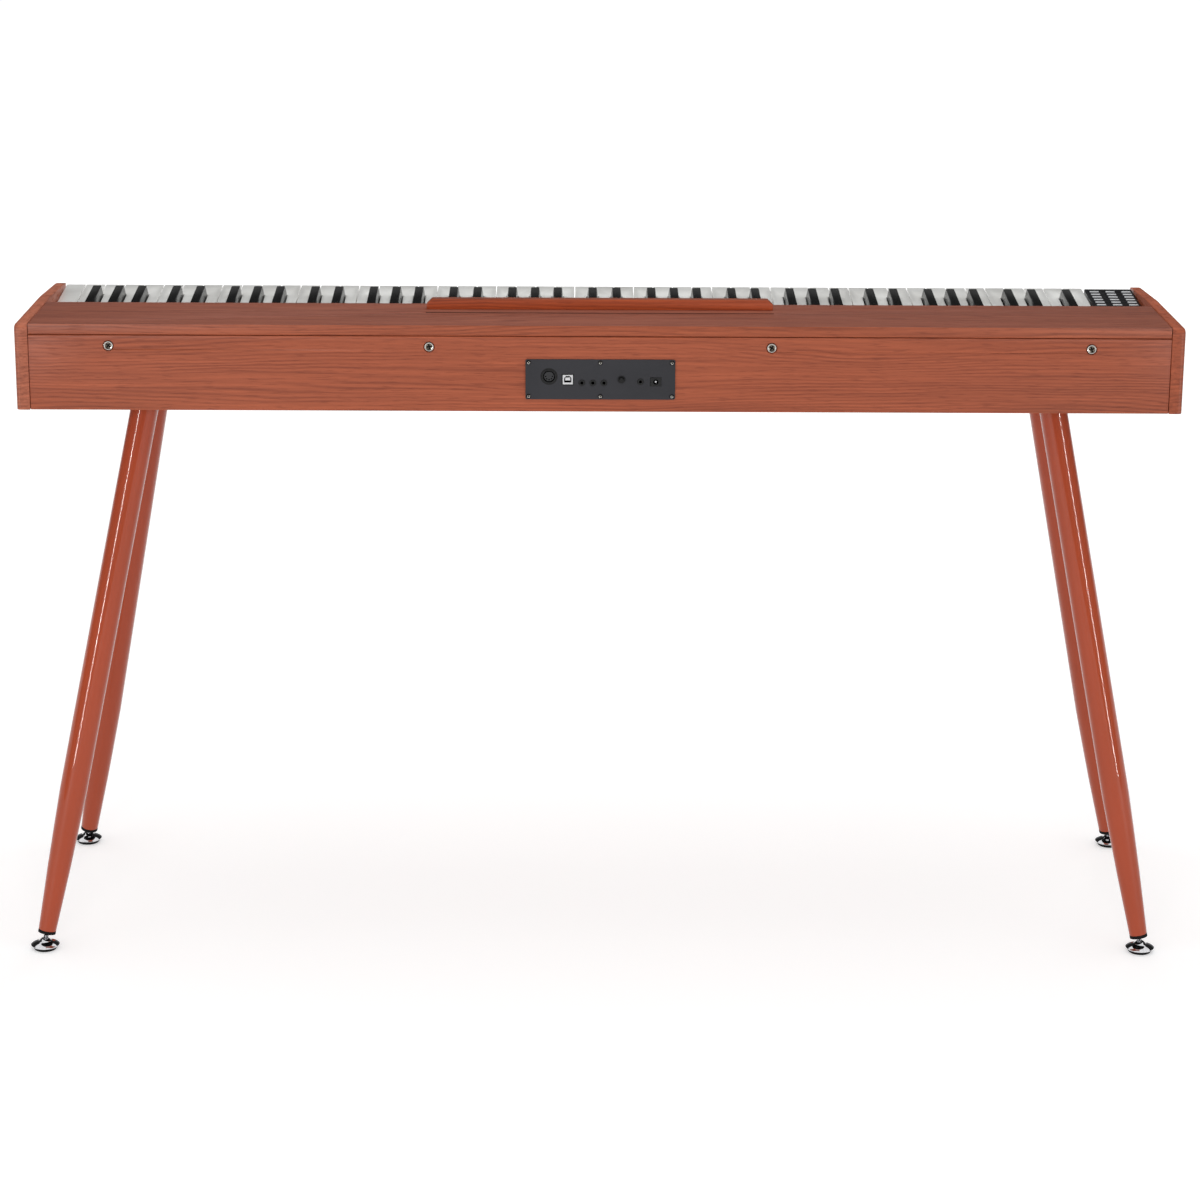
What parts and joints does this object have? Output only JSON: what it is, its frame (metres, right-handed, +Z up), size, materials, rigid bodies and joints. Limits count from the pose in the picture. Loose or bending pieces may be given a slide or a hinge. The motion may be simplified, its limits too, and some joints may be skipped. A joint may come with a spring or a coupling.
{
  "type": "electric piano",
  "caption": "Full-size digital piano in a woodgrain cabinet on four splayed tapering legs, seen from the back, with keys that tip, a control pod and a rear socket panel.",
  "frame": {"origin": "on the floor, under the middle of the four feet", "axes": "+X along the keyboard towards the treble end, +Y away from the player towards the socket panel, +Z up"},
  "size_m": [1.3348, 0.3734, 0.758],
  "materials": {
    "wood_veneer": "satin cherry-coloured woodgrain veneer",
    "solid_wood": "plain sawn softwood",
    "leg_paint": "glossy orange-brown paint on steel tube",
    "steel_plate": "black painted steel",
    "bright_steel": "nickel plated",
    "spring_steel": "bare spring steel",
    "chrome_foot": "polished chrome plate",
    "black_rubber": "matt rubber",
    "black_plastic": "fine-grained black plastic",
    "white_key": "satin white plastic",
    "black_key": "satin black plastic",
    "grey_button": "light grey rubber-feel plastic",
    "chassis_plastic": "dark grey moulded plastic",
    "circuit_board": "green lacquered glass-fibre board",
    "red_felt": "woven felt",
    "socket_metal": "tinned steel shell",
    "speaker_black": "black pressed steel and paper cone"
  },
  "bodies": {
    "cabinet": {"audio_jacks": "black_plastic", "back_board": "wood_veneer", "back_bolts": "bright_steel", "bottom_board": "wood_veneer", "button_board": "circuit_board", "contact_board": "circuit_board", "contact_rubber": "black_rubber", "control_pod": "black_plastic", "dc_socket": "black_plastic", "front_rail": "wood_veneer", "jack_board": "circuit_board", "key_felts": "red_felt", "key_pivot_rod": "bright_steel", "key_spring_comb": "spring_steel", "keybed_chassis": "chassis_plastic", "leg_front_bass": "leg_paint", "leg_front_treble": "leg_paint", "leg_plate_screws": "bright_steel", "leg_plates": "steel_plate", "leg_rear_bass": "leg_paint", "leg_rear_treble": "leg_paint", "leg_tip_plugs": "black_plastic", "lid_blocks": "solid_wood", "main_board": "circuit_board", "midi_socket": "black_plastic", "music_ledge": "wood_veneer", "power_switch": "black_plastic", "side_panel_bass": "wood_veneer", "side_panel_treble": "wood_veneer", "speaker_grilles": "black_plastic", "speakers": "speaker_black", "terminal_plate": "black_plastic", "terminal_screws": "steel_plate", "top_lid": "wood_veneer", "usb_socket": "socket_metal"},
    "c_keys": {"keys_c": "white_key"},
    "c_sharp_keys": {"keys_c_sharp": "black_key"},
    "d_keys": {"keys_d": "white_key"},
    "d_sharp_keys": {"keys_d_sharp": "black_key"},
    "e_keys": {"keys_e": "white_key"},
    "f_keys": {"keys_f": "white_key"},
    "f_sharp_keys": {"keys_f_sharp": "black_key"},
    "g_keys": {"keys_g": "white_key"},
    "g_sharp_keys": {"keys_g_sharp": "black_key"},
    "a_keys": {"keys_a": "white_key"},
    "a_sharp_keys": {"keys_a_sharp": "black_key"},
    "b_keys": {"keys_b": "white_key"},
    "middle_c_key": {"key_middle_c": "white_key"},
    "left_buttons": {"buttons_left": "grey_button"},
    "middle_buttons": {"buttons_middle": "grey_button"},
    "right_buttons": {"buttons_right": "grey_button"},
    "power_push": {"power_button": "black_plastic"},
    "foot_rear_treble": {"levelling_foot_rear_treble": "chrome_foot", "foot_pad_rear_treble": "black_rubber"},
    "foot_rear_bass": {"levelling_foot_rear_bass": "chrome_foot", "foot_pad_rear_bass": "black_rubber"},
    "foot_front_treble": {"levelling_foot_front_treble": "chrome_foot", "foot_pad_front_treble": "black_rubber"},
    "foot_front_bass": {"levelling_foot_front_bass": "chrome_foot", "foot_pad_front_bass": "black_rubber"}
  },
  "joints": [
    {"name": "c_keys_press", "type": "hinge", "parent": "cabinet", "child": "c_keys", "pos_m": [0.03, 0.0564, 0.7103], "axis": [1, 0, 0], "range_deg": [0, 2.6], "stiffness_Nm_per_rad": 4.2, "springref_deg": -22.92},
    {"name": "c_sharp_keys_press", "type": "hinge", "parent": "cabinet", "child": "c_sharp_keys", "pos_m": [0.03, 0.0564, 0.7103], "axis": [1, 0, 0], "range_deg": [0, 2.6], "stiffness_Nm_per_rad": 2.6, "springref_deg": -22.92},
    {"name": "d_keys_press", "type": "hinge", "parent": "cabinet", "child": "d_keys", "pos_m": [0.03, 0.0564, 0.7103], "axis": [1, 0, 0], "range_deg": [0, 2.6], "stiffness_Nm_per_rad": 4.2, "springref_deg": -22.92},
    {"name": "d_sharp_keys_press", "type": "hinge", "parent": "cabinet", "child": "d_sharp_keys", "pos_m": [0.03, 0.0564, 0.7103], "axis": [1, 0, 0], "range_deg": [0, 2.6], "stiffness_Nm_per_rad": 2.6, "springref_deg": -22.92},
    {"name": "e_keys_press", "type": "hinge", "parent": "cabinet", "child": "e_keys", "pos_m": [0.03, 0.0564, 0.7103], "axis": [1, 0, 0], "range_deg": [0, 2.6], "stiffness_Nm_per_rad": 4.2, "springref_deg": -22.92},
    {"name": "f_keys_press", "type": "hinge", "parent": "cabinet", "child": "f_keys", "pos_m": [0.03, 0.0564, 0.7103], "axis": [1, 0, 0], "range_deg": [0, 2.6], "stiffness_Nm_per_rad": 4.2, "springref_deg": -22.92},
    {"name": "f_sharp_keys_press", "type": "hinge", "parent": "cabinet", "child": "f_sharp_keys", "pos_m": [0.03, 0.0564, 0.7103], "axis": [1, 0, 0], "range_deg": [0, 2.6], "stiffness_Nm_per_rad": 2.6, "springref_deg": -22.92},
    {"name": "g_keys_press", "type": "hinge", "parent": "cabinet", "child": "g_keys", "pos_m": [0.03, 0.0564, 0.7103], "axis": [1, 0, 0], "range_deg": [0, 2.6], "stiffness_Nm_per_rad": 4.2, "springref_deg": -22.92},
    {"name": "g_sharp_keys_press", "type": "hinge", "parent": "cabinet", "child": "g_sharp_keys", "pos_m": [0.03, 0.0564, 0.7103], "axis": [1, 0, 0], "range_deg": [0, 2.6], "stiffness_Nm_per_rad": 2.6, "springref_deg": -22.92},
    {"name": "a_keys_press", "type": "hinge", "parent": "cabinet", "child": "a_keys", "pos_m": [0.03, 0.0564, 0.7103], "axis": [1, 0, 0], "range_deg": [0, 2.6], "stiffness_Nm_per_rad": 4.2, "springref_deg": -22.92},
    {"name": "a_sharp_keys_press", "type": "hinge", "parent": "cabinet", "child": "a_sharp_keys", "pos_m": [0.03, 0.0564, 0.7103], "axis": [1, 0, 0], "range_deg": [0, 2.6], "stiffness_Nm_per_rad": 2.6, "springref_deg": -22.92},
    {"name": "b_keys_press", "type": "hinge", "parent": "cabinet", "child": "b_keys", "pos_m": [0.03, 0.0564, 0.7103], "axis": [1, 0, 0], "range_deg": [0, 2.6], "stiffness_Nm_per_rad": 4.2, "springref_deg": -22.92},
    {"name": "middle_c_key_press", "type": "hinge", "parent": "cabinet", "child": "middle_c_key", "pos_m": [0.03, 0.0564, 0.7103], "axis": [1, 0, 0], "range_deg": [0, 2.6], "stiffness_Nm_per_rad": 0.55, "springref_deg": -22.92},
    {"name": "left_buttons_press", "type": "slide", "parent": "cabinet", "child": "left_buttons", "axis": [0, 0, -1], "range_m": [0, 0.001], "stiffness_N_per_m": 2000, "springref_m": -0.003},
    {"name": "middle_buttons_press", "type": "slide", "parent": "cabinet", "child": "middle_buttons", "axis": [0, 0, -1], "range_m": [0, 0.001], "stiffness_N_per_m": 2000, "springref_m": -0.003},
    {"name": "right_buttons_press", "type": "slide", "parent": "cabinet", "child": "right_buttons", "axis": [0, 0, -1], "range_m": [0, 0.001], "stiffness_N_per_m": 2000, "springref_m": -0.003},
    {"name": "power_button_press", "type": "slide", "parent": "cabinet", "child": "power_push", "axis": [0, -1, 0], "range_m": [0, 0.002], "stiffness_N_per_m": 400, "springref_m": -0.003},
    {"name": "rear_treble_foot_screw", "type": "slide", "parent": "cabinet", "child": "foot_rear_treble", "axis": [0.1972, 0.1361, -0.9709], "range_m": [-0.003, 0.012]},
    {"name": "rear_bass_foot_screw", "type": "slide", "parent": "cabinet", "child": "foot_rear_bass", "axis": [-0.1842, 0.1365, -0.9734], "range_m": [-0.003, 0.012]},
    {"name": "front_treble_foot_screw", "type": "slide", "parent": "cabinet", "child": "foot_front_treble", "axis": [0.1842, -0.1365, -0.9734], "range_m": [-0.003, 0.012]},
    {"name": "front_bass_foot_screw", "type": "slide", "parent": "cabinet", "child": "foot_front_bass", "axis": [-0.1972, -0.1361, -0.9709], "range_m": [-0.003, 0.012]}
  ]
}
